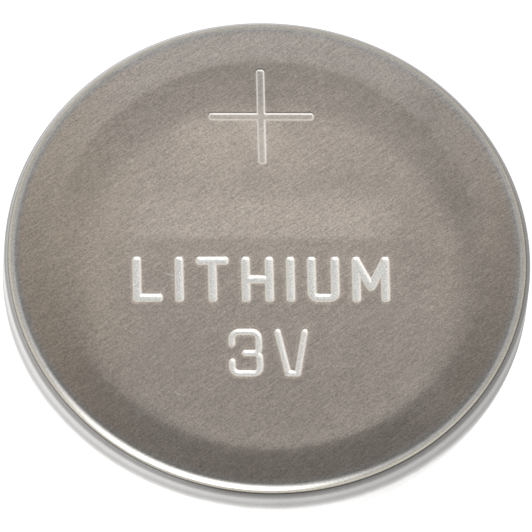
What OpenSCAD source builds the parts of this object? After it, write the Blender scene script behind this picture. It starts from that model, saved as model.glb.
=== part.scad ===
// Lithium coin cell: a steel can crimped over a gasket and a cap, round the two electrodes.
// The origin is the middle of the negative contact, which the cell stands on.
// +Z runs up through the cell to the flat face of the positive can.
// Each ring and shell is a half section, drawn as radius and height, and turned about Z.

/* [Cell] */
// Diameter over the wall of the can
cell_d = 20; // [18:0.1:24.5]
// Height from the negative contact to the positive face
cell_h = 3.2; // [3:0.1:5]

/* [Positive can] */
// Sheet thickness of the can
can_t = 0.25; // [0.2:0.01:0.3]
// Outside radius between the face and the wall
can_corner_r = 0.45; // [0.35:0.01:0.6]
// Width of the sloping band round the flat face
rim_w = 1.35; // [0.9:0.05:1.6]
// Fall of that band from the flat face to the corner
rim_drop = 0.06; // [0.02:0.01:0.1]
// Outside radius of the crimp
crimp_r = 1.1; // [0.95:0.01:1.2]
// Straight reach of the lip past the crimp
lip_reach = 0.1; // [0.05:0.01:0.2]

/* [Negative cap] */
// Sheet thickness of the cap
cap_t = 0.25; // [0.2:0.01:0.28]
// Outside radius round the raised contact
button_corner_r = 0.4; // [0.3:0.01:0.43]
// Hollow radius at the foot of the raised contact
button_foot_r = 0.2; // [0.1:0.01:0.23]
// Flat ledge from that foot to the shoulder
ledge_w = 0.6; // [0.5:0.05:0.8]
// Outside radius of the shoulder, under the crimp
shoulder_r = 0.35; // [0.3:0.01:0.45]
// Length of the edge that is folded back outside the skirt
hem_h = 0.9; // [0.6:0.05:1]
// Gap left inside the fold
hem_gap = 0.06; // [0.04:0.01:0.1]

/* [Gasket] */
// Thickness where the can squeezes it against the cap
seal_t = 0.28; // [0.2:0.01:0.34]
// Thickness of its floor, under the fold
gasket_floor_t = 0.45; // [0.3:0.05:0.6]
// Thickness of its inner wall
hook_t = 0.35; // [0.25:0.01:0.4]
// Height of its inner wall, back along the skirt
hook_h = 0.6; // [0.4:0.05:0.8]
// How far it shows past the lip of the can
nose_reach = 0.25; // [0.18:0.01:0.35]

/* [Electrodes] */
// Thickness of the lithium disc, which also sets the height of the ledge
lithium_t = 0.65; // [0.64:0.01:0.9]
// Clearance from the lithium disc to the corner of the contact
lithium_gap = 0.1; // [0.05:0.01:0.4]
// Thickness of the separator
separator_t = 0.18; // [0.1:0.01:0.3]
// Clearance from the separator to the skirt
separator_gap = 0.2; // [0.1:0.01:0.4]
// Margin from the edge of the can's flat floor to the pellet
pellet_margin = 0.15; // [0.05:0.01:0.6]
// Chamfer on both rims of the pellet
pellet_chamfer = 0.15; // [0.05:0.01:0.3]

/* [Collector grid] */
// Thickness of the grid
grid_t = 0.1; // [0.08:0.01:0.15]
// Step along the long way of its diamonds
grid_long = 2.2; // [1.8:0.1:3]
// Step along the short way of its diamonds
grid_short = 1.2; // [1:0.1:1.6]
// Width of a strand
strand_w = 0.25; // [0.15:0.01:0.35]
// Least width of the plain edge round the diamonds
grid_edge_w = 0.2; // [0.1:0.05:0.5]
// Margin from the edge of the pellet's flat top to the grid
grid_margin = 0.1; // [0.05:0.05:0.4]

/* [Hidden] */
$fn = 128;

// The can, from its corner down
cell_r = cell_d / 2;
can_inner_r = cell_r - can_t;
floor_z = cell_h - can_t;
corner_mid_r = cell_r - can_corner_r;
corner_mid_z = cell_h - rim_drop - can_corner_r;
flat_r = corner_mid_r - rim_w;

// Its crimp, which leaves the seal's thickness over the cap's ledge
ledge_z = lithium_t;
lip_z = ledge_z - seal_t - can_t;
crimp_mid_r = cell_r - crimp_r;
crimp_mid_z = lip_z + crimp_r;
lip_r = crimp_mid_r - lip_reach;

// The fold of the cap, which stands on the gasket's floor
fold_r = cap_t + hem_gap / 2;
hem_r = can_inner_r - seal_t;
fold_mid_r = hem_r - fold_r;
fold_z = floor_z - rim_drop - gasket_floor_t - fold_r;
hem_end_z = fold_z - hem_h;

// The skirt, the shoulder and the raised contact
skirt_r = hem_r - cap_t - hem_gap;
skirt_inner_r = skirt_r - cap_t;
shoulder_mid_r = skirt_r - shoulder_r;
shoulder_mid_z = ledge_z + shoulder_r;
foot_mid_r = shoulder_mid_r - ledge_w;
foot_mid_z = ledge_z - button_foot_r;
button_r = foot_mid_r - button_foot_r;
button_flat_r = button_r - button_corner_r;

// The gasket's two round-ended edges
hook_r = skirt_inner_r - hook_t;
hook_z = fold_z - hook_h;
nose_r = lip_r - nose_reach;

// The stack from the cap to the can
separator_z = cap_t + lithium_t;
pellet_z = separator_z + separator_t;
grid_z = floor_z - grid_t;
pellet_r = flat_r - pellet_margin;
pellet_top_r = pellet_r - pellet_chamfer;
grid_r = pellet_top_r - grid_margin;

// Half section of what the can's outer skin encloses, drawn in by a distance
module can_outline(inset) {
    polygon([
        [0, crimp_mid_z],
        [corner_mid_r, crimp_mid_z],
        [corner_mid_r, cell_h - rim_drop - inset],
        [flat_r, cell_h - inset],
        [0, cell_h - inset]
    ]);
    translate([corner_mid_r, corner_mid_z])
        circle(can_corner_r - inset);
    translate([0, crimp_mid_z])
        square([cell_r - inset, corner_mid_z - crimp_mid_z]);
    translate([crimp_mid_r, crimp_mid_z])
        circle(crimp_r - inset);
    translate([0, lip_z + inset])
        square([crimp_mid_r, crimp_r - inset]);
}

// Half section of what the cap's outer skin encloses, drawn in by a distance
module cap_outline(inset) {
    // The raised contact
    translate([0, inset])
        square([button_flat_r, fold_z - inset]);
    translate([button_flat_r, button_corner_r])
        circle(button_corner_r - inset);
    translate([0, button_corner_r])
        square([button_r - inset, fold_z - button_corner_r]);
    // Its hollow foot
    difference() {
        translate([0, foot_mid_z])
            square([foot_mid_r, fold_z - foot_mid_z]);
        translate([foot_mid_r, foot_mid_z])
            circle(button_foot_r + inset);
    }
    // The ledge, the shoulder and the skirt
    translate([0, ledge_z + inset])
        square([shoulder_mid_r, fold_z - ledge_z - inset]);
    translate([shoulder_mid_r, shoulder_mid_z])
        circle(shoulder_r - inset);
    translate([0, shoulder_mid_z])
        square([skirt_r - inset, fold_z - shoulder_mid_z]);
}

// Half section of the fold and the edge outside the skirt, filled in
module hem_outline() {
    translate([fold_mid_r, fold_z])
        circle(fold_r);
    translate([skirt_r, hem_end_z])
        square([hem_r - skirt_r, hem_h]);
}

// Deep-drawn can, with its lip crimped over the shoulder of the cap
module positive_can() {
    color([0.66, 0.63, 0.59])
        rotate_extrude()
            difference() {
                can_outline(0);
                can_outline(can_t);
                square([lip_r, crimp_mid_z]);
            }
}

// Drawn cap: raised contact, ledge, shoulder and skirt, with its edge folded back outside
module negative_cap() {
    color([0.74, 0.73, 0.71])
        rotate_extrude() {
            difference() {
                cap_outline(0);
                cap_outline(cap_t);
            }
            difference() {
                hem_outline();
                translate([0, hem_end_z])
                    square([hem_r - cap_t, hem_h]);
                translate([fold_mid_r, fold_z])
                    circle(hem_gap / 2);
            }
        }
}

// Moulded ring of J section that fills the gap between the can and the cap
module gasket() {
    color([0.86, 0.87, 0.84])
        rotate_extrude() {
            difference() {
                intersection() {
                    can_outline(can_t);
                    gasket_reach();
                }
                cap_outline(0);
                hem_outline();
            }
            translate([nose_r, lip_z + can_t])
                round_edge(shoulder_mid_r - nose_r, seal_t);
            translate([skirt_inner_r, hook_z])
                rotate(90)
                    round_edge(hook_h, hook_t);
        }
}

// Half section of the two spaces that the gasket may fill: its floor, and all round the hem
module gasket_reach() {
    translate([hook_r, fold_z])
        square([can_inner_r - hook_r, floor_z - fold_z]);
    translate([shoulder_mid_r, 0])
        square([can_inner_r - shoulder_mid_r, fold_z]);
}

// Strip along X with a round start
module round_edge(long, thick) {
    end_r = thick / 2;
    translate([end_r, 0])
        square([long - end_r, thick]);
    translate([end_r, end_r])
        circle(end_r);
}

// Punched lithium disc, pressed on the inside of the raised contact
module lithium_disc() {
    color([0.62, 0.63, 0.66])
        translate([0, 0, cap_t])
            cylinder(h = lithium_t, r = button_flat_r - lithium_gap);
}

// Soft disc that keeps the lithium and the pellet apart
module separator() {
    color([0.93, 0.93, 0.9])
        translate([0, 0, separator_z])
            cylinder(h = separator_t, r = skirt_inner_r - separator_gap);
}

// Pressed tablet with chamfered rims
module cathode_pellet() {
    color([0.13, 0.13, 0.14])
        rotate_extrude()
            polygon([
                [0, pellet_z],
                [pellet_top_r, pellet_z],
                [pellet_r, pellet_z + pellet_chamfer],
                [pellet_r, grid_z - pellet_chamfer],
                [pellet_top_r, grid_z],
                [0, grid_z]
            ]);
}

// Thin round grid of diamonds in staggered rows, with a plain edge
module cathode_collector() {
    // Distance across one step of the pattern, square to its strands
    step_across = grid_long * grid_short / norm([grid_long, grid_short]);
    open_share = 1 - strand_w / step_across;
    half_long = open_share * grid_long / 2;
    half_short = open_share * grid_short / 2;
    rows = ceil(2 * grid_r / grid_short);
    columns = ceil(grid_r / grid_long);
    color([0.55, 0.56, 0.58])
        translate([0, 0, grid_z])
            linear_extrude(grid_t)
                difference() {
                    circle(grid_r);
                    for (row = [-rows : rows], column = [-columns : columns]) {
                        x = (column + (row % 2 == 0 ? 0 : 0.5)) * grid_long;
                        y = row * grid_short / 2;
                        reach = max(norm([abs(x) + half_long, y]), norm([x, abs(y) + half_short]));
                        if (reach < grid_r - grid_edge_w)
                            translate([x, y])
                                diamond(half_long, half_short);
                    }
                }
}

// One opening of the grid
module diamond(half_long, half_short) {
    polygon([[half_long, 0], [0, half_short], [-half_long, 0], [0, -half_short]]);
}

positive_can();
negative_cap();
gasket();
lithium_disc();
separator();
cathode_pellet();
cathode_collector();
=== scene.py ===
# %% [markdown]
# # A lithium coin cell
# A coin cell is a small pressed can. A steel can holds the whole cell and is its positive side.
# A steel cap closes it and is its negative side, and a plastic gasket keeps the two apart.
# The solids come from the frame at their real size. This lesson turns them into finished pieces:
# smooth turned metal, signs pressed into the face, and a finish for each thing in the cell.

# %% Load the frame
import math

import bmesh
import bpy
import numpy as np
from mathutils import Matrix, Vector
from mathutils.geometry import delaunay_2d_cdt


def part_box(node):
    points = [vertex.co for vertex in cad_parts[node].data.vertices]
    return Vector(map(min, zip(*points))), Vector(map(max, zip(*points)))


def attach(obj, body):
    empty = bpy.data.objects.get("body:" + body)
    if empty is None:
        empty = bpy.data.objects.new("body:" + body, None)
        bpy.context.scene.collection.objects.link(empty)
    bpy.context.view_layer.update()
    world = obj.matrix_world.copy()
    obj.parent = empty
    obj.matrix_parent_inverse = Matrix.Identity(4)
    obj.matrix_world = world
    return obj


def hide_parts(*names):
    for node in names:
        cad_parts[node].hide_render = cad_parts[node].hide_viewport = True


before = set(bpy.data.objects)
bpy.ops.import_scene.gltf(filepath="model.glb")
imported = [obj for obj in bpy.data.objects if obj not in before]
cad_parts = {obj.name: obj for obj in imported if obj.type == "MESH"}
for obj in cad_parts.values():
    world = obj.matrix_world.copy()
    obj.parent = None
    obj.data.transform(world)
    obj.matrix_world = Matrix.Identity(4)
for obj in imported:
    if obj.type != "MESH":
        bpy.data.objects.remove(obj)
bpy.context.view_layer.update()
MM = 0.001
print("solids:", ", ".join(sorted(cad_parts)))

# %% [markdown]
# ## The sizes of the section
# Every metal part here is pressed from flat sheet and is round, so half of its section tells its
# whole shape. The outer sizes are read from the frame. The thickness of the sheet and the radii of
# the press tool are named once, here, in millimetres. All shaping below is done in millimetres.

# %% Sizes
can_low, can_high = (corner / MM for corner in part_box("positive_can"))
cap_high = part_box("negative_cap")[1] / MM

SHEET_T = 0.25
CORNER_R = 0.45
RIM_W = 1.35
RIM_DROP = 0.06
CRIMP_R = 1.1
LIP_REACH = 0.1
BUTTON_CORNER_R = 0.4
BUTTON_FOOT_R = 0.2
LEDGE_W = 0.6
SHOULDER_R = 0.35
HEM_H = 0.9
HEM_GAP = 0.06
SEAL_T = 0.28
HOOK_T = 0.35
HOOK_H = 0.6
NOSE_REACH = 0.25
CUT_EDGE_R = 0.03

cell_r = can_high.x
cell_h = can_high.z
corner_mid = (cell_r - CORNER_R, cell_h - RIM_DROP - CORNER_R)
flat_r = corner_mid[0] - RIM_W
crimp_mid = (cell_r - CRIMP_R, can_low.z + CRIMP_R)
lip_r = crimp_mid[0] - LIP_REACH
fold_r = SHEET_T + HEM_GAP / 2
fold_mid = (cap_high.x - fold_r, cap_high.z - fold_r)
hem_end_z = fold_mid[1] - HEM_H
skirt_r = cap_high.x - SHEET_T - HEM_GAP
ledge_z = can_low.z + SHEET_T + SEAL_T
shoulder_mid = (skirt_r - SHOULDER_R, ledge_z + SHOULDER_R)
foot_mid = (shoulder_mid[0] - LEDGE_W, ledge_z - BUTTON_FOOT_R)
button_mid = (foot_mid[0] - BUTTON_FOOT_R - BUTTON_CORNER_R, BUTTON_CORNER_R)
print(f"can {2 * cell_r:.2f} mm across, {cell_h:.2f} mm high, flat face out to {flat_r:.2f} mm")

# %% [markdown]
# ## Drawing a half section
# A half section is a line of points, each a radius and a height. Bends are drawn as arcs with a
# point every few degrees. A long straight run gets one more point close to each of its ends, so
# that smooth shading bends only where the sheet does, and the straight run still looks flat.

# %% Bends and straight runs
BEND_STEP = 6.0
GUARD = 0.04


def bend(mid, radius, first, last, step=BEND_STEP):
    """Points along a bend about its middle, from one angle to another, in degrees."""
    count = max(2, round(abs(last - first) / step))
    angles = np.radians(np.linspace(first, last, count + 1))
    return [(mid[0] + radius * math.cos(a), mid[1] + radius * math.sin(a)) for a in angles]


def guarded(points, closed=False):
    """The same line, with a point just inside each end of its long straight runs."""
    line = []
    pairs = zip(points, points[1:] + points[:1] if closed else points[1:])
    for here, there in pairs:
        here, there = Vector(here), Vector(there)
        line.append(here)
        run = (there - here).length
        if run > 4 * GUARD:
            line.append(here.lerp(there, GUARD / run))
            line.append(there.lerp(here, GUARD / run))
    return line if closed else line + [Vector(points[-1])]


print(f"bends have a point every {BEND_STEP:g} degrees")

# %% [markdown]
# ## Turning a section with Geometry Nodes
# Spinning a half section about the axis is a rule, so a small node tree does it for every round
# piece. Curve to Mesh sweeps the section round a circle. Merge by Distance then closes the poles,
# where all the points of a ring fall together. The sweep puts the section's X outwards and its Y
# downwards, so a section is stored as radius less the circle's radius, and height turned over.

# %% The turning tree
SEGMENTS = 256
SWEEP_R = cell_r
SAME_SPOT = 0.001 * MM


def put(tree, kind, feeds=None, **settings):
    """Adds a node, sets it up, and gives each input its value or the socket that feeds it."""
    node = tree.nodes.new(kind)
    for name, value in settings.items():
        setattr(node, name, value)
    for key, value in (feeds or {}).items():
        if isinstance(value, bpy.types.NodeSocket):
            tree.links.new(value, node.inputs[key])
        else:
            node.inputs[key].default_value = value
    return node


def new_tree(name, inputs, output, kind="ShaderNodeTree"):
    """A node group. Returns it with its named input sockets and the socket of its result."""
    tree = bpy.data.node_groups.new(name, kind)
    for direction, sockets in (("INPUT", inputs), ("OUTPUT", [output])):
        for label, value_type, *default in sockets:
            socket = "NodeSocket" + value_type
            added = tree.interface.new_socket(label, in_out=direction, socket_type=socket)
            if default:
                added.default_value = default[0]
    entry = tree.nodes.new("NodeGroupInput")
    return tree, entry.outputs, tree.nodes.new("NodeGroupOutput").inputs[0]


def link(value, socket):
    """Feeds a socket of the same tree."""
    socket.id_data.links.new(value, socket)


turning, given, result = new_tree(
    "Turn about the axis",
    [
        ("Section", "Geometry"),
        ("Segments", "Int", SEGMENTS),
        ("Circle Radius", "Float", SWEEP_R * MM),
        ("Merge Distance", "Float", SAME_SPOT),
        ("Finish", "Material"),
    ],
    ("Piece", "Geometry"),
    "GeometryNodeTree",
)
feeds = {"Resolution": given["Segments"], "Radius": given["Circle Radius"]}
circle = put(turning, "GeometryNodeCurvePrimitiveCircle", feeds, mode="RADIUS").outputs[0]
profile = put(turning, "GeometryNodeMeshToCurve", {"Mesh": given["Section"]}).outputs[0]
feeds = {"Curve": circle, "Profile Curve": profile}
sweep = put(turning, "GeometryNodeCurveToMesh", feeds).outputs[0]
feeds = {"Geometry": sweep, "Distance": given["Merge Distance"]}
merged = put(turning, "GeometryNodeMergeByDistance", feeds).outputs[0]
real = put(turning, "GeometryNodeRealizeInstances", {"Geometry": merged}).outputs[0]
feeds = {"Geometry": real, "Material": given["Finish"]}
link(put(turning, "GeometryNodeSetMaterial", feeds).outputs[0], result)
print(f"turning tree: {len(turning.nodes)} nodes, {SEGMENTS} steps round")

# %% [markdown]
# The tree's result is copied to a plain mesh, and the modifier goes away with its host. The
# normals are worked out again on the plain mesh, so that they all point away from the metal.

# %% Make a plain piece
def new_object(name, data):
    """A new object in the scene."""
    made_object = bpy.data.objects.new(name, data)
    bpy.context.scene.collection.objects.link(made_object)
    return made_object


def plain_mesh(host, modifier_tree, inputs):
    """The mesh that a Geometry Nodes tree makes on a host object, which is then removed."""
    modifier = host.modifiers.new("Shape", "NODES")
    modifier.node_group = modifier_tree
    for socket in modifier_tree.interface.items_tree:
        if socket.in_out == "INPUT" and socket.name in inputs:
            modifier[socket.identifier] = inputs[socket.name]
    depsgraph = bpy.context.evaluated_depsgraph_get()
    mesh = bpy.data.meshes.new_from_object(host.evaluated_get(depsgraph))
    old = host.data
    bpy.data.objects.remove(host)
    bpy.data.meshes.remove(old)
    return mesh


def close_up(mesh, extra=None):
    """Joins an extra mesh on, merges their shared ring, and points all faces outwards."""
    shell = bmesh.new()
    shell.from_mesh(mesh)
    if extra:
        shell.from_mesh(extra)
        rim = [v for v in shell.verts if v.is_boundary]
        bmesh.ops.remove_doubles(shell, verts=rim, dist=SAME_SPOT)
    bmesh.ops.recalc_face_normals(shell, faces=shell.faces)
    for face in shell.faces:
        face.smooth = True
    open_edges = sum(not e.is_manifold for e in shell.edges)
    shell.to_mesh(mesh)
    shell.free()
    return open_edges


def turned(name, points, finish, closed=False, extra=None):
    """A round piece from its half section in millimetres, closed up with an extra mesh."""
    line = guarded(points, closed)
    profile_mesh = bpy.data.meshes.new(name + "_section")
    spots = [((p[0] - SWEEP_R) * MM, -p[1] * MM, 0) for p in line]
    links = [(i, i + 1) for i in range(len(line) - 1)]
    if closed:
        links.append((len(line) - 1, 0))
    profile_mesh.from_pydata(spots, links, [])
    host = new_object(name + "_host", profile_mesh)
    mesh = plain_mesh(host, turning, {"Segments": SEGMENTS, "Finish": finish})
    mesh.name = name
    open_edges = close_up(mesh, extra)
    print(f"{name}: {len(mesh.polygons)} faces, {open_edges} open edges")
    return mesh


def show(mesh, node):
    """Puts a finished piece in the scene in the place of its solid."""
    piece = new_object(mesh.name, mesh)
    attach(piece, "root")
    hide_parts(node)


# %% [markdown]
# ## Finishes: shared effects
# The same few effects are on several pieces: fine lines from rolling and brushing, speckle,
# scratches, and smudges. Each is a node group with named inputs, built once. They read the place
# on the piece in millimetres, so that a size in a finish is a real size.

# %% Numbers and places in a shader
FLAT = (1, 1, 0)


def made(kind, feeds, out=0, **settings):
    """Adds a node to the tree of the sockets that feed it, and gives one of its outputs."""
    socket = next(v for v in feeds.values() if isinstance(v, bpy.types.NodeSocket))
    return put(socket.id_data, kind, feeds, **settings).outputs[out]


def calc(operation, *terms):
    """One Math node over sockets and numbers."""
    return made("ShaderNodeMath", dict(enumerate(terms)), operation=operation)


def product(first, *others):
    """The product of two or more values."""
    for other in others:
        first = calc("MULTIPLY", first, other)
    return first


def vec(operation, *terms):
    """One Vector Math node. A length, a distance or a dot product comes out as a plain value."""
    out = int(operation in ("LENGTH", "DISTANCE", "DOT_PRODUCT"))
    return made("ShaderNodeVectorMath", dict(enumerate(terms)), out, operation=operation)


def scaled(vector, factor):
    """A place or a colour times a number."""
    return made("ShaderNodeVectorMath", {"Vector": vector, "Scale": factor}, operation="SCALE")


def ease(value, low, high, to_low=0.0, to_high=1.0):
    """Smooth step of a value from one range to another."""
    feeds = dict(enumerate((value, low, high, to_low, to_high)))
    return made("ShaderNodeMapRange", feeds, interpolation_type="SMOOTHSTEP")


def hump(value, low, full, still, gone):
    """Eases up from one value to a second, and down again from a third to a fourth."""
    return product(ease(value, low, full), ease(value, still, gone, 1.0, 0.0))


# %% Mixing in a shader
def mix(share, first, second):
    """Mixes two values by a share."""
    return made("ShaderNodeMix", {0: share, 2: first, 3: second}, data_type="FLOAT")


def blend(share, first, second, mode="MIX"):
    """Mixes two colours by a share. A plain colour is given as red, green and blue."""
    first, second = ((*c, 1) if isinstance(c, tuple) else c for c in (first, second))
    feeds = {0: share, 6: first, 7: second}
    return made("ShaderNodeMix", feeds, 2, data_type="RGBA", blend_type=mode)


# %% Brushed lines
lines, given, result = new_tree(
    "Brushed lines",
    [("Place", "Vector"), ("Angle", "Float"), ("Length", "Float", 2.0), ("Width", "Float", 0.05)],
    ("Height", "Float"),
)
feeds = {"Vector": given["Place"], "Angle": product(given["Angle"], -1.0)}
turned_place = made("ShaderNodeVectorRotate", feeds, rotation_type="Z_AXIS")
narrow = calc("DIVIDE", 1.0, given["Width"])
feeds = {"X": calc("DIVIDE", 1.0, given["Length"]), "Y": narrow, "Z": narrow}
stretched = vec("MULTIPLY", turned_place, made("ShaderNodeCombineXYZ", feeds))
noise = made("ShaderNodeTexNoise", {"Vector": stretched, "Scale": 1.0, "Detail": 2.0}, "Fac")
link(noise, result)

# %% Speckle
speckle, given, result = new_tree(
    "Speckle",
    [("Place", "Vector"), ("Size", "Float", 0.1), ("From", "Float", 0.4), ("To", "Float", 0.6)],
    ("Mask", "Float"),
)
sized = scaled(given["Place"], calc("DIVIDE", 1.0, given["Size"]))
noise = made("ShaderNodeTexNoise", {"Vector": sized, "Scale": 1.0, "Detail": 3.0}, "Fac")
link(ease(noise, given["From"], given["To"]), result)

# %% Satin grains
size_inputs = [("Place", "Vector"), ("Size", "Float", 0.05)]
grains, given, result = new_tree("Satin grains", size_inputs, ("Tone", "Float"))
sized = scaled(given["Place"], calc("DIVIDE", 1.0, given["Size"]))
feeds = {"Vector": sized, "Scale": 1.0}
cells = made("ShaderNodeTexVoronoi", feeds, "Color", feature="F1")
link(made("ShaderNodeSeparateColor", {"Color": cells}, "Red"), result)

# %% One scratch
scratch, given, result = new_tree(
    "Scratch",
    [("Place", "Vector"), ("Start", "Vector"), ("End", "Vector"), ("Width", "Float", 0.05)],
    ("Mask", "Float"),
)
run = vec("SUBTRACT", given["End"], given["Start"])
reach = vec("SUBTRACT", given["Place"], given["Start"])
along_run = vec("DOT_PRODUCT", reach, run)
share = calc("DIVIDE", along_run, vec("DOT_PRODUCT", run, run))
inside = made("ShaderNodeClamp", {"Value": share})
off_line = vec("DISTANCE", reach, scaled(run, inside))
hit = ease(off_line, 0.0, given["Width"], 1.0, 0.0)
noise = made("ShaderNodeTexNoise", {"Vector": given["Place"], "Scale": 9.0}, "Fac")
broken = ease(noise, 0.35, 0.6, 0.35, 1.0)
link(product(hit, broken), result)
print("shared effects:", ", ".join(g.name for g in (lines, speckle, grains, scratch)))

# %% [markdown]
# ## The steel finish
# Both metal parts are nickel-plated steel: a warm grey metal with a dull sheen, rolled before it is
# pressed, so fine lines run across it. A press pad leaves the middle of the face duller than the
# ring round it, and the corner and the wall come out smoothest, rubbed by the drawing die. The wall
# is painted lighter and the lip darker, as painted light and painted shade. The signs are pressed
# with a sand-blasted tool, so their floors are rough and pale; their edges carry a painted white
# highlight. Each finish starts as a plain material that reads the place in millimetres.

# %% A new finish
METAL = {"Metallic": 1.0}


def new_finish(name, constants=None):
    """A new material, its tree, its shader and the place on the piece in millimetres."""
    finish = bpy.data.materials.new(name)
    finish.use_nodes = True
    tree = finish.node_tree
    shader = tree.nodes["Principled BSDF"]
    for label, value in (constants or {}).items():
        shader.inputs[label].default_value = value
    where = put(tree, "ShaderNodeTexCoord").outputs["Object"]
    return finish, tree, shader, scaled(where, 1 / MM)


def use(group, feeds):
    """Places a shared effect in a material with its own values."""
    return made("ShaderNodeGroup", feeds, node_tree=group)


def lined(place, angle, length, width):
    """Brushed lines of one angle, length and width."""
    return use(lines, {"Place": place, "Angle": angle, "Length": length, "Width": width})


def spotted(place, size, low, high):
    """Speckle of one size, with the levels of its noise where a spot starts and is full."""
    return use(speckle, {"Place": place, "Size": size, "From": low, "To": high})


def emboss(height, depth, under=None):
    """A Bump node whose height of one is a real depth in millimetres."""
    feeds = {"Height": height, "Strength": 1.0, "Distance": depth * MM}
    if under:
        feeds["Normal"] = under
    return made("ShaderNodeBump", feeds)


def coat(shader, colour, roughness, normal=None):
    """Feeds a shader its colour, its roughness and, if there is one, its relief."""
    feeds = {"Base Color": colour, "Roughness": roughness, "Normal": normal}
    for label, value in feeds.items():
        if value:
            link(value, shader.inputs[label])


# %% Lines and grains of the can
GRAIN_ANGLE = math.radians(35.5)
STREAK_SHARE = 0.42
MID_TONE = 0.5

can_steel, tree, steel, place = new_finish("can_nickel", METAL)
flat_place = vec("MULTIPLY", place, FLAT)
from_axis = vec("LENGTH", flat_place)
x, y, z = put(tree, "ShaderNodeSeparateXYZ", {"Vector": place}).outputs
long_lines = lined(place, GRAIN_ANGLE, 1.1, 0.034)
fine_lines = lined(place, GRAIN_ANGLE, 0.22, 0.03)
both_lines = calc("ADD", long_lines, fine_lines)
streak = ease(both_lines, 0.6, 1.4)
satin = use(grains, {"Place": place, "Size": 0.031})
grit = spotted(place, 0.05, 0.3, 0.7)
calm = ease(from_axis, 9.4, 9.9, 1.0, 0.35)
tone = calc("SUBTRACT", mix(STREAK_SHARE, satin, streak), MID_TONE)
tone = calc("MULTIPLY_ADD", tone, calm, MID_TONE)
print(f"rolled lines run at {math.degrees(GRAIN_ANGLE):.1f} degrees")

# %% [markdown]
# One plating has four tones. The face stays warm and the corner turns neutral as it is drawn over
# the die. The wall is made lighter, as painted light, and the lip at the foot of the crimp darker,
# as painted shade. The tones change by radius and by height.

# %% Four tones of the plating
def toned(dark, light):
    """One tone of the plating, from its dark grains to its light ones."""
    return blend(tone, dark, light)


face_bare = toned((0.368, 0.327, 0.298), (0.950, 0.849, 0.781))
corner_bare = toned((0.336, 0.336, 0.336), (0.875, 0.872, 0.866))
# Painted light: the wall's tone is lighter. Painted shade: the lip's tone is darker.
wall_painted_light = toned((0.60, 0.60, 0.60), (0.99, 0.987, 0.98))
lip_painted_shade = toned((0.24, 0.24, 0.24), (0.56, 0.558, 0.555))
side_with_painted_light = blend(ease(z, 2.55, 2.75), wall_painted_light, corner_bare)
bare = blend(ease(from_axis, 9.3, 9.7), face_bare, side_with_painted_light)
bare = blend(ease(z, 0.85, 1.0), lip_painted_shade, bare)
print("tones of the plating: face, corner, wall and lip")

# %% [markdown]
# A handled cell isn't even. Thin dust dulls it, and soft patches are lighter or darker. A lighter
# strip between the plus and the letters is a painted highlight, and the lighter patches above it
# round that highlight off. A patch is told by its middle, its radius and its change. The band leans
# outwards, so one side of it gets painted light and the other painted shade.

# %% Dust and the painted highlight strip
DUST = 0.15
HIGHLIGHT_STRIP = (0.5, 0.85, 1.7, 3.3)

worn = spotted(place, 2.2, 0.35, 0.7)
dusty = blend(product(worn, DUST), bare, (0.50, 0.455, 0.43))
# Painted highlight: a lighter strip between the plus and the letters.
highlight_rows = hump(y, *HIGHLIGHT_STRIP)
highlight_ends = ease(calc("ABSOLUTE", x), 3.5, 6.6, 1.0, 0.0)
painted_highlight_tone = blend(1.0, dusty, (1.2, 1.2, 1.2), "MULTIPLY")
steel_tone = blend(product(highlight_rows, highlight_ends), dusty, painted_highlight_tone)
print(f"painted highlight strip: full from {HIGHLIGHT_STRIP[1]} to {HIGHLIGHT_STRIP[2]} mm above the middle")

# %% Soft patches
# The lighter patches above the middle of the face round off the painted highlight; the rest make
# the tone uneven.
CLOUDS = [
    ((5.9, 0.8), 2.6, -0.09), ((5.2, 2.6), 1.6, -0.04), ((-1.8, 4.6), 2.4, 0.11),
    ((-0.1, 5.2), 1.2, 0.14), ((-0.1, 6.6), 0.9, -0.08), ((0.7, 4.0), 1.6, 0.08),
    ((3.8, 3.0), 1.5, -0.07), ((7.6, 0.7), 1.6, 0.12), ((6.1, 6.0), 1.4, -0.12),
    ((6.0, -6.0), 1.7, 0.10),
]
CLOUD_CORE = 0.3

tone_and_painted_light = 1.0
for middle, size, change in CLOUDS:
    from_middle = vec("DISTANCE", flat_place, (*middle, 0))
    patch = ease(from_middle, size * CLOUD_CORE, size, change, 0.0)
    tone_and_painted_light = calc("ADD", tone_and_painted_light, patch)
print(f"{len(CLOUDS)} soft patches, up to {max(size for _, size, _ in CLOUDS)} mm in radius")

# %% Painted light and shade on the band, and warm edges
BAND_SIDE = math.radians(120)
BAND_LIGHT_STEP = 0.14
NEAR_BAND_SHADE_STEP = -0.010
WARM_EDGE = (1.035, 1.0, 0.93)

off_corner = ease(from_axis, 9.3, 9.6, 1.0, 0.0)
band_way = (math.cos(BAND_SIDE), math.sin(BAND_SIDE), 0)
band_lit_side = calc("DIVIDE", vec("DOT_PRODUCT", place, band_way), 9.0)
# Painted light on one side of the band and painted shade on the other, and painted shade just
# inside it on the far side.
band_painted_light = product(ease(from_axis, 8.12, 8.26, 0.0, BAND_LIGHT_STEP), off_corner)
near_band_painted_shade = hump(from_axis, 7.2, 7.8, 8.0, 8.2)
near_band_painted_shade = product(near_band_painted_shade, calc("MULTIPLY", y, NEAR_BAND_SHADE_STEP))
tone_and_painted_light = calc("MULTIPLY_ADD", band_painted_light, band_lit_side, calc("ADD", tone_and_painted_light, near_band_painted_shade))
left_edge = ease(x, -8.5, -4.0, 1.0, 0.0)
right_edge = ease(x, 5.5, 9.0, 0.0, 0.6)
warm_share = product(calc("MAXIMUM", left_edge, right_edge), off_corner)
warmed = blend(1.0, steel_tone, WARM_EDGE, "MULTIPLY")
steel_tone = scaled(blend(warm_share, steel_tone, warmed), tone_and_painted_light)
print(f"the band is {BAND_LIGHT_STEP:.0%} lighter on one side and as much darker on the other")

# %% [markdown]
# Marks of use come next: pale smudges on the ring before the band, and nicks. A nick is a short
# line with soft sides, told by its two ends, its width and its strength. It costs a few nodes,
# while cutting it into the mesh would take hundreds of faces.

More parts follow.
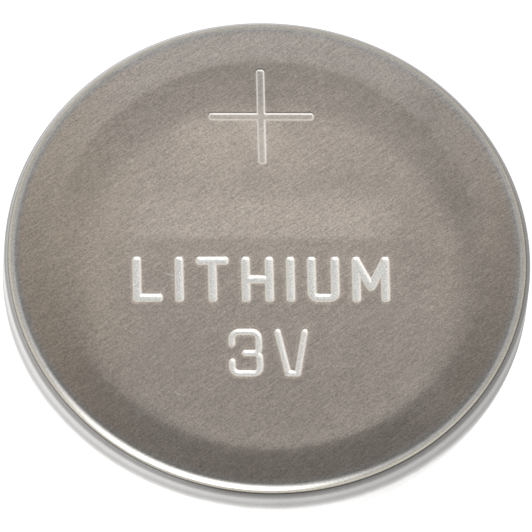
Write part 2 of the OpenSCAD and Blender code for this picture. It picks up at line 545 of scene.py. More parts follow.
# %% Smudges and nicks
NICKS = [
    ((-3.94, -0.78), (-3.49, -0.94), 0.045, 0.8), ((-2.40, 0.42), (-1.70, -0.30), 0.035, 0.45),
    ((-2.32, -1.20), (-1.95, -1.24), 0.04, 0.6), ((-6.33, -5.14), (-6.11, -5.36), 0.045, 0.6),
    ((-5.92, -5.52), (-5.74, -5.68), 0.04, 0.6), ((-5.66, -5.70), (-5.42, -6.02), 0.035, 0.4),
    ((-3.54, -5.85), (-3.47, -5.90), 0.06, 0.8), ((5.95, 3.80), (5.99, 3.80), 0.06, 0.6),
    ((6.55, 1.70), (6.59, 1.70), 0.06, 0.6), ((7.30, 1.55), (7.34, 1.55), 0.06, 0.6),
    ((1.2, 7.55), (1.24, 7.55), 0.06, 0.8), ((-0.5, 8.0), (-0.46, 8.02), 0.06, 0.6),
]
SMUDGE = 0.22

smudge = spotted(place, 0.4, 0.52, 0.72)
smudge = product(smudge, hump(from_axis, 7.2, 7.9, 8.3, 8.9), SMUDGE)
steel_tone = blend(smudge, steel_tone, (0.95, 0.91, 0.88))
nicked = 0.0
for start, end, width, strength in NICKS:
    feeds = {"Place": flat_place, "Start": (*start, 0), "End": (*end, 0), "Width": width}
    nick = product(use(scratch, feeds), strength)
    nicked = calc("MAXIMUM", nicked, nick)
steel_tone = blend(nicked, steel_tone, (1.0, 0.97, 0.94))
print(f"{len(NICKS)} nicks, the longest {max(math.dist(*nick[:2]) for nick in NICKS):.1f} mm")

# %% [markdown]
# Three values stored on the mesh tell the finish where the signs are: the mark is the floor of a
# groove, the painted edge highlight a white line along its upper edge, and the painted shade a dark
# line beside its far edges.

# %% Signs in the finish
MATT = 0.6


def stored(label):
    """A value stored on the mesh, point by point."""
    return put(tree, "ShaderNodeAttribute", attribute_name=label).outputs["Fac"]


marked, painted_edge_highlight, painted_shade = (stored(label) for label in ("mark", "painted_edge_highlight", "painted_shade"))
floor_tone = blend(grit, (0.66, 0.67, 0.68), (0.98, 0.99, 1))
colour = blend(marked, steel_tone, floor_tone)
# A white painted highlight along the upper edges of the grooves.
colour = blend(painted_edge_highlight, colour, (1, 1, 1))
# Dark painted shade beside the far edges of the signs.
colour = blend(painted_shade, colour, (0.10, 0.095, 0.09))
print("signs: rough floors, painted edge highlights and dark grime")

# %% Sheen and relief of the can
LINE_DEPTH = 0.00014
WAVE_DEPTH = 0.006

burnished = ease(vec("DISTANCE", flat_place, (0.05, -0.9, 0)), 6.6, 7.8)
dull = ease(y, -8.0, 8.0, 0.345, 0.465)
dull = calc("ADD", dull, ease(both_lines, 0.6, 1.4, -0.01, 0.01))
drawn = ease(from_axis, 9.7, 9.93, 0.28, 0.07)
handled = calc("MULTIPLY_ADD", x, -0.25, product(y, 0.75))
handled = ease(handled, -0.5, 3.0, 0.0, 0.07)
handled = product(handled, ease(from_axis, 7.9, 8.6, 1.0, 0.0))
fine = calc("ADD", handled, ease(both_lines, 0.6, 1.4, 0.0, 0.01))
sheen = mix(burnished, dull, calc("ADD", drawn, fine))
rough = mix(calc("MAXIMUM", marked, painted_edge_highlight), sheen, MATT)
waves = spotted(place, 4.0, 0.2, 0.8)
relief = calc("ADD", both_lines, product(grit, 2.5))
wavy = emboss(waves, WAVE_DEPTH)
coat(steel, colour, rough, emboss(product(relief, calm), LINE_DEPTH, wavy))
print(f"can finish: {len(tree.nodes)} nodes")

# %% [markdown]
# ## The can
# The can is one deep-drawn shell. Its section runs from the flat face over a sloping band, round
# the corner, down the wall and into the crimp, to the cut edge of the lip, and then back up inside.
# The face itself is made apart, because signs are pressed into it, and joined on at a shared ring.

# %% Face height
FACE_R = 8.6
BAND_BLEND = 0.2
BAND_START = 87.5
band_end = bend(corner_mid, CORNER_R, BAND_START, BAND_START + 1)[0]
band_slope = (band_end[1] - cell_h) / (band_end[0] - flat_r)


def face_height(radius):
    """Height of the face: flat, then easing into the sloping band."""
    radius = np.asarray(radius, float)
    past = np.clip(radius - (flat_r - BAND_BLEND), 0, 2 * BAND_BLEND)
    beyond = np.clip(radius - (flat_r + BAND_BLEND), 0, None)
    return cell_h + band_slope * (past**2 / (4 * BAND_BLEND) + beyond)


print(f"the band falls {-band_slope:.3f} mm for each mm outwards")

# %% The can's section
lip_low = (lip_r + CUT_EDGE_R, can_low.z + CUT_EDGE_R)
lip_high = (lip_low[0], can_low.z + SHEET_T - CUT_EDGE_R)
can_line = [
    (FACE_R, float(face_height(FACE_R))),
    *bend(corner_mid, CORNER_R, BAND_START, 0, 5),
    *bend(crimp_mid, CRIMP_R, 0, -90, 5),
    *bend(lip_low, CUT_EDGE_R, -90, -180, 30),
    *bend(lip_high, CUT_EDGE_R, 180, 90, 30),
    *bend(crimp_mid, CRIMP_R - SHEET_T, -90, 0),
    *bend(corner_mid, CORNER_R - SHEET_T, 0, 90, 15),
    (flat_r, cell_h - SHEET_T),
    (0, cell_h - SHEET_T),
]
print(f"can: {len(can_line)} points along its section")

# %% [markdown]
# ## Signs pressed into the face
# A sign is a groove of even width. It is told by its strokes: straight bars, whose ends are nearly
# square, and round bends. The height of the face at any point depends only on how far that point
# is from the nearest stroke, so crossings and corners need no care. The face is then meshed with
# a Delaunay triangulation, from rings of points round the strokes' edges and over the flat.

# %% Strokes
BAR_CORE = 0.045


def bar(start, end, core=BAR_CORE, joined=False):
    """A straight stroke. It carries on past a free end by half its width."""
    return {"kind": "bar", "start": start, "end": end, "core": core, "joined": joined}


def curve(mid, radius, first, last):
    """A bend in a stroke, from one angle to another in degrees."""
    return {"kind": "curve", "mid": mid, "radius": radius, "first": first, "last": last}


def letter(strokes, width, left, low):
    """Strokes of one sign, moved to its place on the face, with their half width."""
    placed = []
    for stroke in strokes:
        moved = {"half": width / 2, **stroke}
        for key in ("start", "end", "mid"):
            if key in moved:
                moved[key] = (moved[key][0] + left, moved[key][1] + low)
        placed.append(moved)
    return placed


# %% [markdown]
# The letters are drawn on a small grid: `w` is half a stroke, `h` the height of the centre line of
# the top stroke. Bends share one radius. Each letter is a list of strokes from its lower left.

# %% The letters
TEXT_STROKE = 0.30
CAP_H = 1.86
VOLT_STROKE = 0.22
VOLT_H = 1.96
V_STROKE = 0.21
TURN_R = 0.24


def letter_l(w, h):
    right = 1.10 - w
    return 1.10, [bar((w, w), (w, h)), bar((w, w), (right, w))]


def letter_i(w, h):
    return 2 * w, [bar((w, w), (w, h))]


def letter_t(w, h):
    right = 1.22 - w
    middle = 0.61
    return 1.22, [bar((w, h), (right, h)), bar((middle, h), (middle, w))]


def letter_h(w, h):
    right = 1.19 - w
    middle = (w + h) / 2
    posts = [bar((w, w), (w, h)), bar((right, w), (right, h))]
    return 1.19, [*posts, bar((w, middle), (right, middle))]


def letter_u(w, h):
    right = 1.19 - w
    low = w + TURN_R
    return 1.19, [
        bar((w, h), (w, low), joined=True),
        curve((w + TURN_R, low), TURN_R, 180, 270),
        bar((w + TURN_R, w), (right - TURN_R, w), core=0, joined=True),
        curve((right - TURN_R, low), TURN_R, 270, 360),
        bar((right, h), (right, low), joined=True),
    ]


def letter_m(w, h):
    right = 1.40 - w
    dip = (0.70, 0.36 * h)
    posts = [bar((w, w), (w, h)), bar((right, w), (right, h))]
    return 1.40, [*posts, bar((w, h), dip, core=0), bar(dip, (right, h), core=0)]


def digit_3(w, h):
    left, right, low_right = w, 1.24 - w, 1.27 - w
    corner = 0.27
    waist = 0.965
    turn = 0.22
    tail = 0.50
    return 1.27, [
        bar((left, h - tail), (left, h - corner), core=0),
        curve((left + corner, h - corner), corner, 180, 90),
        bar((left + corner, h), (right - corner, h), core=0),
        curve((right - corner, h - corner), corner, 90, 0),
        bar((right, h - corner), (right, waist + turn), core=0),
        curve((right - turn, waist + turn), turn, 0, -90),
        bar((0.60, waist), (right - turn, waist), core=0),
        curve((low_right - turn, waist - turn), turn, 90, 0),
        bar((low_right, waist - turn), (low_right, w + corner), core=0),
        curve((low_right - corner, w + corner), corner, 0, -90),
        bar((low_right - corner, w), (left + corner, w), core=0),
        curve((left + corner, w + corner), corner, -90, -180),
        bar((left, w + corner), (left, w + tail), core=0),
    ]


def letter_v(w, h):
    low = [(0.48, w), (0.84, w)]
    spots = [(w, h), *low, (1.25 - w, h)]
    strokes = [bar(here, there, core=0) for here, there in zip(spots, spots[1:])]
    return 1.25, [dict(stroke, half=V_STROKE / 2) for stroke in strokes]


# %% Rows of signs
def row(forms, stroke, height, left, right, middle):
    """Sets letters between two ends with even gaps."""
    drawn = [form(stroke / 2, height - stroke / 2) for form in forms]
    gap = (right - left - sum(width for width, _ in drawn)) / (len(drawn) - 1)
    strokes = []
    for width, parts in drawn:
        strokes += letter(parts, stroke, left, middle - height / 2)
        left += width + gap
    return strokes


ARM = 1.99
PLUS_STROKE = 0.29
PLUS_MID = (-0.13, 5.82)
name_row = [letter_l, letter_i, letter_t, letter_h, letter_i, letter_u, letter_m]
words = row(name_row, TEXT_STROKE, CAP_H, left=-5.14, right=4.59, middle=-1.05)
words += row([digit_3, letter_v], VOLT_STROKE, VOLT_H, left=-1.55, right=1.44, middle=-4.13)
arm = ARM - PLUS_STROKE / 2
cross = [bar((-arm, 0), (arm, 0)), bar((0, -arm), (0, arm))]
plus = letter(cross, PLUS_STROKE, *PLUS_MID)
print(f"signs: {len(words)} strokes in two rows, and a plus {2 * ARM:.2f} mm across")

# %% [markdown]
# A stroke's edge distance is zero on its edge, negative inside and positive outside. It is worked
# out for many points at once. The depth eases from the floor of the groove to the flat face, with a
# wide roll at the top and a tighter one at the bottom, as pressed sheet has.

# %% Distance to the strokes
def unit(angle):
    """Unit vector at an angle in degrees."""
    return np.array([math.cos(math.radians(angle)), math.sin(math.radians(angle))])


def frame_of(stroke):
    """Start, direction, side and length of a bar's core."""
    start, end = np.array(stroke["start"], float), np.array(stroke["end"], float)
    length = np.linalg.norm(end - start)
    along = (end - start) / length
    side = np.array([-along[1], along[0]])
    return start, along, side, length


def edge_distance(points, stroke):
    """Distance of points from a stroke's edge, negative inside it."""
    if stroke["kind"] == "bar":
        start, along, side, length = frame_of(stroke)
        core = stroke["core"]
        far = length if stroke["joined"] else length + core
        local = points - start
        a = local @ along
        b = np.abs(local @ side)
        past = np.maximum(np.maximum(-core - a, a - far), 0)
        return np.hypot(past, np.maximum(b - core, 0)) - (stroke["half"] - core)
    local = points - np.array(stroke["mid"])
    first, last = sorted((stroke["first"], stroke["last"]))
    angle = np.degrees(np.arctan2(local[:, 1], local[:, 0]))
    turn = (angle - first) % 360
    on_arc = np.abs(np.hypot(local[:, 0], local[:, 1]) - stroke["radius"])
    ends = [stroke["mid"] + stroke["radius"] * unit(a) for a in (first, last)]
    off_arc = np.min([np.linalg.norm(points - end, axis=1) for end in ends], axis=0)
    return np.where(turn <= last - first, on_arc, off_arc) - stroke["half"]


def nearest(points, strokes):
    """Distance of each point from the edge of the nearest stroke."""
    return np.min([edge_distance(points, stroke) for stroke in strokes], axis=0)


# %% Depth of a groove
GROOVE_D = 0.06
WALL_IN = -0.08
WALL_OUT = 0.045
ROLL = 1.35
BURR_H = 0.010
BURR_W = 0.032
BURR_AT = 0.08


def groove_depth(edge):
    """Depth below the face at a distance from a stroke's edge, less the burr beside it."""
    share = np.clip((WALL_OUT - edge) / (WALL_OUT - WALL_IN), 0, 1) ** ROLL
    burr = BURR_H * np.exp(-(((edge - BURR_AT) / BURR_W) ** 2))
    return GROOVE_D * share**2 * (3 - 2 * share) - burr


print(f"grooves are {GROOVE_D} mm deep, with a burr {BURR_H} mm high beside them")

# %% Points round the strokes
def outline(stroke, edge, spacing=0.07):
    """Points round a stroke at one distance from its edge, evenly spaced."""
    half = stroke["half"] + edge
    spots = []
    if stroke["kind"] == "curve":
        sweep = math.radians(abs(stroke["last"] - stroke["first"]))
        count = max(3, math.ceil(sweep * (stroke["radius"] + stroke["half"]) / spacing))
        for angle in np.linspace(stroke["first"], stroke["last"], count + 1):
            for radius in {stroke["radius"] - half, stroke["radius"] + half}:
                if radius > 0:
                    spots.append(stroke["mid"] + radius * unit(angle))
        return spots
    start, along, side, length = frame_of(stroke)
    core = stroke["core"]
    round_r = max(half - core, 0)
    flat_half = min(core, half)
    first, last = -flat_half, length if stroke["joined"] else length + flat_half
    for a in np.linspace(first, last, max(2, math.ceil((last - first) / spacing)) + 1):
        for b in {-half, half}:
            spots.append(start + along * a + side * b)
    turns = np.linspace(0, 90, 5)
    for end, way, free in ((first, -1, True), (last, 1, not stroke["joined"])):
        if not free or half <= 0:
            continue
        for b in {-flat_half, 0.0, flat_half}:
            spots.append(start + along * (end + way * round_r) + side * b)
        for sign in (-1, 1):
            mid = start + along * end + side * (sign * flat_half)
            for angle in turns:
                turn = unit(angle)
                spots.append(mid + round_r * (along * (way * turn[0]) + side * (sign * turn[1])))
    return spots


EDGES = [*np.linspace(WALL_IN, WALL_OUT, 8), 0.062, 0.08, 0.098, 0.12, 0.15]


def groove_points(strokes):
    """Outline points at each distance, less those that fall inside another stroke."""
    spots = []
    for edge in EDGES:
        ring = np.array([spot for stroke in strokes for spot in outline(stroke, edge)])
        spots.append(ring[nearest(ring, strokes) > edge - 0.002])
    floor = np.array([spot for stroke in strokes for spot in outline(stroke, -stroke["half"])])
    return np.concatenate([*spots, floor])


# %% Mesh of the face
PLAIN_STEP = 0.45
PLAIN_REACH = 7
PLAIN_GAP = 0.2
PLUS_SHARE = 0.36
RINGS = [8.5, 8.4, 8.3, 8.2, 8.1, 8.0, 7.85, 7.6, 7.3]

all_strokes = words + plus
rim_angles = np.arange(SEGMENTS) * 2 * math.pi / SEGMENTS
rim_spots = np.stack([np.cos(rim_angles), np.sin(rim_angles)], axis=1)
rings = [rim_spots * FACE_R] + [rim_spots[::2] * radius for radius in RINGS]
steps = math.ceil(PLAIN_REACH / PLAIN_STEP)
across = np.arange(-steps, steps + 1) * PLAIN_STEP
grid = np.stack(np.meshgrid(across, across), axis=-1).reshape(-1, 2)
grid[:, 0] += np.where(np.round(grid[:, 1] / PLAIN_STEP) % 2, PLAIN_STEP / 2, 0)
grid = grid[np.hypot(grid[:, 0], grid[:, 1]) < RINGS[-1] - PLAIN_STEP / 2]
plain = np.concatenate([*rings[1:], grid])
plain = plain[nearest(plain, all_strokes) > PLAIN_GAP]
face_spots = np.concatenate([rings[0], plain, groove_points(words), groove_points(plus)])
face_spots = np.unique(np.round(face_spots, 4), axis=0)
vertices, _, triangles, *_ = delaunay_2d_cdt([Vector(s) for s in face_spots], [], [], 0, 1e-4)
flat_spots = np.array([vertex[:] for vertex in vertices])
heights = face_height(np.hypot(*flat_spots.T))
to_words, to_plus = nearest(flat_spots, words), nearest(flat_spots, plus)
plus_depth = PLUS_SHARE * groove_depth(to_plus)
heights -= np.where(to_words < to_plus, groove_depth(to_words), plus_depth)
face_mesh = bpy.data.meshes.new("face")
face_points = [(x * MM, y * MM, z * MM) for (x, y), z in zip(flat_spots, heights)]
face_mesh.from_pydata(face_points, [], triangles)
face_mesh.materials.append(can_steel)
print(f"face: {len(face_points)} points, {len(triangles)} triangles")

# %% Join the can
can_mesh = turned("can_shell", can_line, can_steel, extra=face_mesh)

# %% Mark, painted edge highlight and painted shade
MARK_EASE = 0.035
PLUS_MARK = 0.3
EDGE_HIGHLIGHT = 0.97
EDGE_HIGHLIGHT_AT = -0.012
EDGE_HIGHLIGHT_W = 0.029
SHADE_LINE_AT = 0.036
SHADE_LINE_W = 0.022
PLUS_SHADE_LINE = 0.9
WORD_SHADE_LINE = 0.35
NEAR_PLUS = 0.3
FACE_SLICE = 0.2
PROBE = 0.01

places = np.array([v.co[:] for v in can_mesh.vertices]) / MM
spots = places[:, :2]
on_face = (places[:, 2] > cell_h - FACE_SLICE) & (np.hypot(*spots.T) < flat_r)
to_words, to_plus, to_any = (nearest(spots, signs) for signs in (words, plus, all_strokes))
word_mark, plus_mark = (np.clip(-edge / MARK_EASE, 0, 1) for edge in (to_words, to_plus))
# The painted shade lies only on the far side of each groove edge.
far_side = np.clip((nearest(spots + (0, PROBE), all_strokes) - to_any) / PROBE, 0, 1)
far_side_shade = np.where(to_plus < NEAR_PLUS, PLUS_SHADE_LINE, WORD_SHADE_LINE) * far_side
# The painted edge highlight runs along every groove edge.
layers = {
    "mark": np.maximum(word_mark, PLUS_MARK * plus_mark),
    "painted_edge_highlight": EDGE_HIGHLIGHT * np.exp(-(((to_any - EDGE_HIGHLIGHT_AT) / EDGE_HIGHLIGHT_W) ** 2)),
    "painted_shade": far_side_shade * np.exp(-(((to_any - SHADE_LINE_AT) / SHADE_LINE_W) ** 2)),
}
for label, values in layers.items():
    layer = can_mesh.attributes.new(label, "FLOAT", "POINT")
    layer.data.foreach_set("value", np.where(on_face, values, 0.0))
show(can_mesh, "positive_can")
print("stored on the can:", ", ".join(layers))

# %% [markdown]
# ## The cap
# The cap is drawn like a hat: the raised contact, its ledge, the skirt, and an edge that is folded
# back outside the skirt. The gasket grips that fold. Most of it is hidden in the closed cell.

# %% The cap's section
def cut_edge(radius_out, radius_in, height):
    """Rounded cut edge of a sheet, from its inner side to its outer one."""
    out_mid = (radius_out - CUT_EDGE_R, height + CUT_EDGE_R)
    in_mid = (radius_in + CUT_EDGE_R, height + CUT_EDGE_R)
    return bend(in_mid, CUT_EDGE_R, 180, 270, 30) + bend(out_mid, CUT_EDGE_R, 270, 360, 30)


inner_fold = HEM_GAP / 2
cap_line = [
    (0, 0),
    *bend(button_mid, BUTTON_CORNER_R, -90, 0, 9),
    *bend(foot_mid, BUTTON_FOOT_R, 180, 90, 15),
    *bend(shoulder_mid, SHOULDER_R, -90, 0, 9),
    *bend(fold_mid, inner_fold, 180, 0, 30),
    *cut_edge(cap_high.x, cap_high.x - SHEET_T, hem_end_z),
    *bend(fold_mid, fold_r, 0, 180, 9),
    *bend(shoulder_mid, SHOULDER_R - SHEET_T, 0, -90, 30),
    *bend(foot_mid, BUTTON_FOOT_R + SHEET_T, 90, 180, 9),
    *bend(button_mid, BUTTON_CORNER_R - SHEET_T, 0, -90, 15),
    (0, SHEET_T),
]
print(f"cap: {len(cap_line)} points along its section")

# %% The cap
cap_steel, _, steel, place = new_finish("cap_nickel", METAL)
cap_lines = lined(place, -0.5, 3.0, 0.06)
grit = spotted(place, 0.05, 0.3, 0.7)
colour = blend(cap_lines, (0.60, 0.57, 0.53), (0.71, 0.68, 0.64))
rough = ease(cap_lines, 0.3, 0.7, 0.26, 0.36)
relief = calc("ADD", cap_lines, product(grit, 0.5))
coat(steel, colour, rough, emboss(relief, 0.0006))

show(turned("cap_shell", cap_line, cap_steel), "negative_cap")

# %% [markdown]
# ## The gasket
# The gasket is one moulded ring of polypropylene. Squeezed between the can and the cap, it fills
# the space between them: round the fold, over the shoulder, and out to a nose past the lip.

# %% The gasket's section
floor_out_z = corner_mid[1] + CORNER_R - SHEET_T
hook_mid = (skirt_r - SHEET_T - HOOK_T / 2, fold_mid[1] - HOOK_H + HOOK_T / 2)
hook_top_r = hook_mid[0] - HOOK_T / 2
floor_slope = RIM_DROP / RIM_W
hook_top_z = floor_out_z + (corner_mid[0] - hook_top_r) * floor_slope
nose_mid = (lip_r - NOSE_REACH + SEAL_T / 2, can_low.z + SHEET_T + SEAL_T / 2)
gasket_line = [
    *bend(nose_mid, SEAL_T / 2, 90, 270, 15),
    *bend(crimp_mid, CRIMP_R - SHEET_T, -90, 0),
    *bend(corner_mid, CORNER_R - SHEET_T, 0, 90, 15),
    (hook_top_r, hook_top_z),
    *bend(hook_mid, HOOK_T / 2, 180, 360, 15),
    *bend(fold_mid, fold_r, 180, 0, 9),
    (cap_high.x, hem_end_z),
    (skirt_r, hem_end_z),
    *bend(shoulder_mid, SHOULDER_R, 0, -90, 9),
]
print(f"gasket: {len(gasket_line)} points round its section")

# %% The gasket
gasket_plastic, _, plastic, place = new_finish("gasket_polypropylene")
haze = spotted(place, 0.4, 0.3, 0.7)
colour = blend(haze, (0.66, 0.67, 0.63), (0.74, 0.74, 0.70))
coat(plastic, colour, ease(haze, 0.0, 1.0, 0.38, 0.5))

gasket_mesh = turned("gasket_ring", gasket_line, gasket_plastic, closed=True)
show(gasket_mesh, "gasket")

# %% [markdown]
# ## What the cell holds
# Four flat pieces are shut in. Their solids already have the right shape, so they stay as they are
# and only get a finish: soft rolled lithium with a dull bloom, a white felted separator, a black
# pressed tablet with a few bright grains, and the expanded steel that carries its current.

# %% Lithium disc
def dress(node, finish):
    """Gives a solid of the frame its finish."""
    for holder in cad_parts[node].material_slots:
        holder.material = finish
    print(f"{node}: {finish.name}, {len(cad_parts[node].material_slots)} slot")


lithium_metal, _, metal, place = new_finish("lithium_metal", METAL)
rolled = lined(place, 0.3, 2.5, 0.07)
bloom = spotted(place, 1.6, 0.4, 0.7)
pits = spotted(place, 0.12, 0.5, 0.75)
colour = blend(rolled, (0.50, 0.51, 0.53), (0.66, 0.67, 0.70))
colour = blend(product(bloom, 0.5), colour, (0.40, 0.40, 0.42))
colour = blend(product(pits, 0.5), colour, (0.30, 0.30, 0.33))
relief = emboss(calc("ADD", rolled, pits), 0.002)
coat(metal, colour, ease(bloom, 0.0, 1.0, 0.40, 0.62), relief)
dress("lithium_disc", lithium_metal)

# %% Separator
FIBRE_ANGLES = (0.35, 1.4, 2.45)

felt, _, cloth, place = new_finish("felted_fibres")
fibres = 0.0
for angle in FIBRE_ANGLES:
    fibre = ease(lined(place, angle, 0.7, 0.03), 0.5, 0.68)
    fibres = calc("MAXIMUM", fibres, fibre)
tuft = spotted(place, 0.5, 0.35, 0.7)
colour = blend(fibres, (0.74, 0.74, 0.71), (0.90, 0.90, 0.88))
colour = blend(product(tuft, 0.25), colour, (0.95, 0.95, 0.94))
relief = emboss(calc("ADD", fibres, tuft), 0.008)
coat(cloth, colour, ease(fibres, 0.0, 1.0, 0.95, 0.80), relief)
dress("separator", felt)

# %% Cathode pellet
weak_gloss = {"Specular IOR Level": 0.4}
pressed_powder, _, powder, place = new_finish("pressed_powder", weak_gloss)
coarse = use(grains, {"Place": place, "Size": 0.09})
dust = spotted(place, 0.05, 0.3, 0.7)
glint = ease(coarse, 0.93, 0.97)
colour = blend(dust, (0.010, 0.010, 0.011), (0.040, 0.040, 0.042))
colour = blend(glint, colour, (0.16, 0.16, 0.17))
relief = emboss(calc("ADD", coarse, dust), 0.006)
coat(powder, colour, ease(glint, 0.0, 1.0, 0.75, 0.35), relief)
dress("cathode_pellet", pressed_powder)

# %% Collector grid
grid_steel, _, wire, place = new_finish("expanded_steel", METAL)
rolled = lined(place, 0.0, 0.8, 0.03)
dust = spotted(place, 0.08, 0.45, 0.75)
colour = blend(rolled, (0.44, 0.44, 0.45), (0.62, 0.62, 0.63))
colour = blend(product(dust, 0.6), colour, (0.14, 0.14, 0.15))
rough = ease(rolled, 0.3, 0.7, 0.30, 0.44)
coat(wire, colour, rough, emboss(rolled, 0.001))
dress("cathode_collector", grid_steel)

# %% [markdown]
# ## The studio
# The cell lies on a plain white sweep. The light is a soft room: a dim patch straight above, a
# pale ring of walls, and one large soft box on the camera's side. All of it is drawn on the sky
# by direction, so no lamp can stand in the way of another view. Bare metal shows little but what
# is round it. So the walls are brighter at the back of the room than at its front, and the sweep
# glows softly round the foot of the cell, as a lit table does, which brings out the can's wall.

# %% Directions of the room
VIEW_TURN = math.radians(6.65)
right = Vector((math.cos(VIEW_TURN), -math.sin(VIEW_TURN), 0))
away = Vector((math.sin(VIEW_TURN), math.cos(VIEW_TURN), 0))


def level_way(direction):
    """A direction laid level, one long."""
    return vec("NORMALIZE", vec("MULTIPLY", direction, FLAT))


def toward(direction, way):
    """How far a direction goes along a fixed way."""
    return vec("DOT_PRODUCT", direction, tuple(way))


# %% Level of the walls round the table
BACK_LEVEL = 0.65
FRONT_LEVEL = 0.22
LEFT_LEVEL = 0.30
RIGHT_SHADE = -0.6

direction_input = [("Direction", "Vector")]
low_walls, given, result = new_tree("Low walls", direction_input, ("Level", "Float"))
flat_way = level_way(given["Direction"])
ahead = calc("MULTIPLY_ADD", toward(flat_way, away), 0.5, 0.5)
side = toward(flat_way, right)
right_side = calc("MAXIMUM", side, 0.0)
shaded = calc("MULTIPLY_ADD", right_side, RIGHT_SHADE, 1.0)
back_part = product(calc("POWER", ahead, 2.0), shaded, BACK_LEVEL)
left_side = ease(side, -0.5, 0.0, LEFT_LEVEL, 0.0)
link(calc("ADD", calc("ADD", left_side, back_part), FRONT_LEVEL), result)
print(f"low walls: {FRONT_LEVEL + BACK_LEVEL:.2f} at the back, {FRONT_LEVEL} at the front")


# %% A ramp from stops
def ramp(share, stops, low, high):
    """Levels over a share of a range, from stops: a value in it, a level and maybe a tint."""
    output = made("ShaderNodeValToRGB", {"Fac": share}, "Color")
    elements = output.node.color_ramp.elements
    while len(elements) < len(stops):
        elements.new(0.5)
    for element, (at, level, *tint) in zip(elements, stops):
        element.position = (at - low) / (high - low)
        element.color = [level * part for part in (tint or [(1, 1, 1)])[0]] + [1]
    return output


# %% Sweep
SWEEP = 3.0
SWEEP_Z = -1e-5

corners = [(x * SWEEP, y * SWEEP, SWEEP_Z) for x, y in ((-1, -1), (1, -1), (1, 1), (-1, 1))]
floor_mesh = bpy.data.meshes.new("sweep")
floor_mesh.from_pydata(corners, [], [(0, 1, 2, 3)])
floor = new_object("sweep", floor_mesh)
paper_look = {
    "Base Color": (0.2, 0.2, 0.2, 1),
    "Roughness": 0.9,
    "Specular IOR Level": 0.0,
    "Emission Color": (1, 1, 1, 1),
}
paper, panel, sheet, place = new_finish("white_paper", paper_look)
floor_mesh.materials.append(paper)
print(f"sweep: {2 * SWEEP:g} m square")

# %% [markdown]
# The glow is told by its level at each radius. It is strongest under the crimp, so that the low
# wall shows bright from above, stronger at the back than in front, and weaker at the two sides.
# Further out it fades into the level of the walls.

# %% Glow round the foot
GLOW_R = 30.0
GLOW_SHIFT = 0.95
GLOW_GAIN = 3.0
GLOW_BASE = 1.18
GLOW_LEAN = away * 0.38 - right * 0.33
SIDE_LOSS = -0.26
FAR_START = 12.5
FAR_FULL = 20
FAR_GAIN = 0.8
FAR_BASE = -0.06
GLOW_STOPS = [
    (6.5, 0.0), (8.0, 0.12), (8.6, 0.36), (8.8, 0.46), (9.0, 0.50),
    (9.4, 0.53), (9.80, 0.54), (9.87, 0.50), (9.93, 0.30), (10.0, 0.155),
    (10.12, 0.14), (10.22, 0.27), (10.32, 0.215), (10.5, 0.16), (11.2, 0.17),
    (12.0, 0.155), (13.3, 0.12), (16.0, 0.055), (20.0, 0.015), (25.0, 0.0),
]

off_centre = vec("DISTANCE", place, tuple(-away * GLOW_SHIFT))
reach = calc("DIVIDE", off_centre, GLOW_R)
ring = ramp(reach, GLOW_STOPS, 0, GLOW_R)
flat_way = level_way(place)
uneven = calc("ADD", toward(flat_way, GLOW_LEAN), GLOW_BASE)
sideways = calc("POWER", toward(flat_way, right), 2.0)
uneven = product(uneven, calc("MULTIPLY_ADD", sideways, SIDE_LOSS, 1.0))
pool = product(ring, product(uneven, GLOW_GAIN))
far_level = use(low_walls, {"Direction": place})
far_glow = calc("MULTIPLY_ADD", far_level, FAR_GAIN, FAR_BASE)
far_share = ease(reach, FAR_START / GLOW_R, FAR_FULL / GLOW_R)
glow = calc("MULTIPLY_ADD", far_glow, far_share, pool)
seen = put(panel, "ShaderNodeLightPath").outputs["Is Camera Ray"]
link(mix(seen, glow, 1.0), sheet.inputs["Emission Strength"])
print(f"glow: {len(GLOW_STOPS)} rings, out to {GLOW_STOPS[-1][0]:g} mm")

# %% Camera
VIEW_HEIGHT = math.radians(64.1)
VIEW_ROLL = math.radians(6.04)
VIEW_FAR = 800.0
FRAME_W = 20.1852
ASIDE = 0.0683
ABOVE = 0.4401

back = -away * math.cos(VIEW_HEIGHT) + Vector((0, 0, math.sin(VIEW_HEIGHT)))
up = back.cross(right)
cam_right = right * math.cos(VIEW_ROLL) + up * math.sin(VIEW_ROLL)
cam_up = up * math.cos(VIEW_ROLL) - right * math.sin(VIEW_ROLL)
lens = bpy.data.cameras.new("camera")
lens.sensor_width = 36.0
lens.lens = lens.sensor_width * VIEW_FAR / FRAME_W
lens.clip_start = 0.01
lens.clip_end = 10.0
camera = new_object("camera", lens)
turn = Matrix((cam_right, cam_up, back)).transposed().to_4x4()
spot = Vector((0, 0, cell_h)) + back * VIEW_FAR - cam_right * ASIDE - cam_up * ABOVE
camera.matrix_world = Matrix.Translation(spot * MM) @ turn
bpy.context.scene.camera = camera
bpy.context.scene.view_settings.view_transform = "Standard"
print(f"the camera takes in {FRAME_W:.1f} mm from {VIEW_FAR:g} mm away")

# %% [markdown]
# The walls are rings round an axis just off straight up, each with its level and tint. Near the
# floor they take the level of the table's surroundings, and one far side is dimmer. The soft box
# fades out wide to the left and below, so that no hard line crosses the turned metal.

# %% Rings of the room
TOP_TILT = math.radians(3)
WARM = (1.06, 0.99, 0.90)
SAND = (1.08, 1.02, 0.89)
PALE = (1.0, 1.0, 0.98)
COOL = (0.95, 1.0, 1.05)
ROOM_STOPS = [
    (0, 0.15, WARM), (12, 0.03, WARM), (22, 0.03, WARM),
    (26, 0.29, WARM), (30, 0.90, COOL), (35, 0.65, COOL),
    (42, 0.58, SAND), (50, 0.60, SAND), (60, 0.76, SAND),
    (70, 0.98, SAND), (80, 0.67, WARM), (90, 0.30, PALE),
]

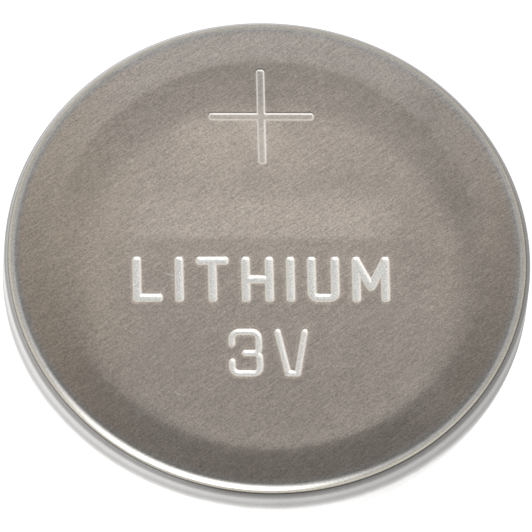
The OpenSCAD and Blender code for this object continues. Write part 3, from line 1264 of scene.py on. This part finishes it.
world = bpy.data.worlds.new("soft_room")
bpy.context.scene.world = world
world.use_nodes = True
sky = world.node_tree
sky.nodes.clear()
look = put(sky, "ShaderNodeTexCoord").outputs["Generated"]
top_axis = away * math.sin(TOP_TILT) + Vector((0, 0, math.cos(TOP_TILT)))
from_top = calc("ARCCOSINE", toward(look, top_axis))
from_top = calc("DIVIDE", from_top, math.pi)
room = ramp(from_top, ROOM_STOPS, 0, 180)
print(f"room: {len(ROOM_STOPS)} rings from straight above to the floor")

# %% Walls near the floor and on the far side
FULL_LEVEL = 0.85
FLOOR_RISE = (math.sin(math.radians(4)), math.sin(math.radians(24)))
FAR_TURN = math.radians(75)
FAR_LOSS = -0.13

rise = toward(look, (0, 0, 1))
near_floor = ease(rise, *FLOOR_RISE, 1.0, 0.0)
wall_level = calc("DIVIDE", use(low_walls, {"Direction": look}), FULL_LEVEL)
far_way = right * math.cos(FAR_TURN) + away * math.sin(FAR_TURN)
far_wall = ease(toward(level_way(look), far_way), -0.2, 0.5)
far_wall = product(far_wall, ease(from_top, 40 / 180, 50 / 180))
far_dim = calc("MULTIPLY_ADD", far_wall, FAR_LOSS, 1.0)
walls = scaled(room, product(mix(near_floor, 1.0, wall_level), far_dim))
print(f"the far side is {-FAR_LOSS:.0%} dimmer")

# %% Soft box
BOX_LOW = -20
BOX_HIGH = 60
BOX_STOPS = [(-14, 0), (-6, 0.08), (0, 0.14), (10, 0.28), (21, 0.75), (32, 1), (48, 1), (53, 0)]
BOX_LEFT = (math.radians(-66), math.radians(-16))
BOX_RIGHT = (math.radians(-6), math.radians(48))
BOX_LIGHT = (4.72, 4.63, 4.46)

slant = calc("ARCTAN2", toward(look, -away), rise)
above_low = calc("SUBTRACT", slant, math.radians(BOX_LOW))
box_part = calc("DIVIDE", above_low, math.radians(BOX_HIGH - BOX_LOW))
box_up = ramp(box_part, BOX_STOPS, BOX_LOW, BOX_HIGH)
lean = calc("ARCSINE", toward(look, right))
box_left = ease(lean, *BOX_LEFT)
box_right = ease(lean, *BOX_RIGHT, 1.0, 0.0)
box_wide = product(calc("POWER", box_left, 2.0), calc("POWER", box_right, 3.0))
lit = blend(product(box_up, box_wide), walls, BOX_LIGHT)
seen = put(sky, "ShaderNodeLightPath").outputs["Is Camera Ray"]
shown = blend(seen, lit, (1.0, 1.0, 1.0))
glow = put(sky, "ShaderNodeBackground", {"Color": shown})
put(sky, "ShaderNodeOutputWorld", {"Surface": glow.outputs[0]})
print(f"sky: {len(sky.nodes)} nodes, no lamp")
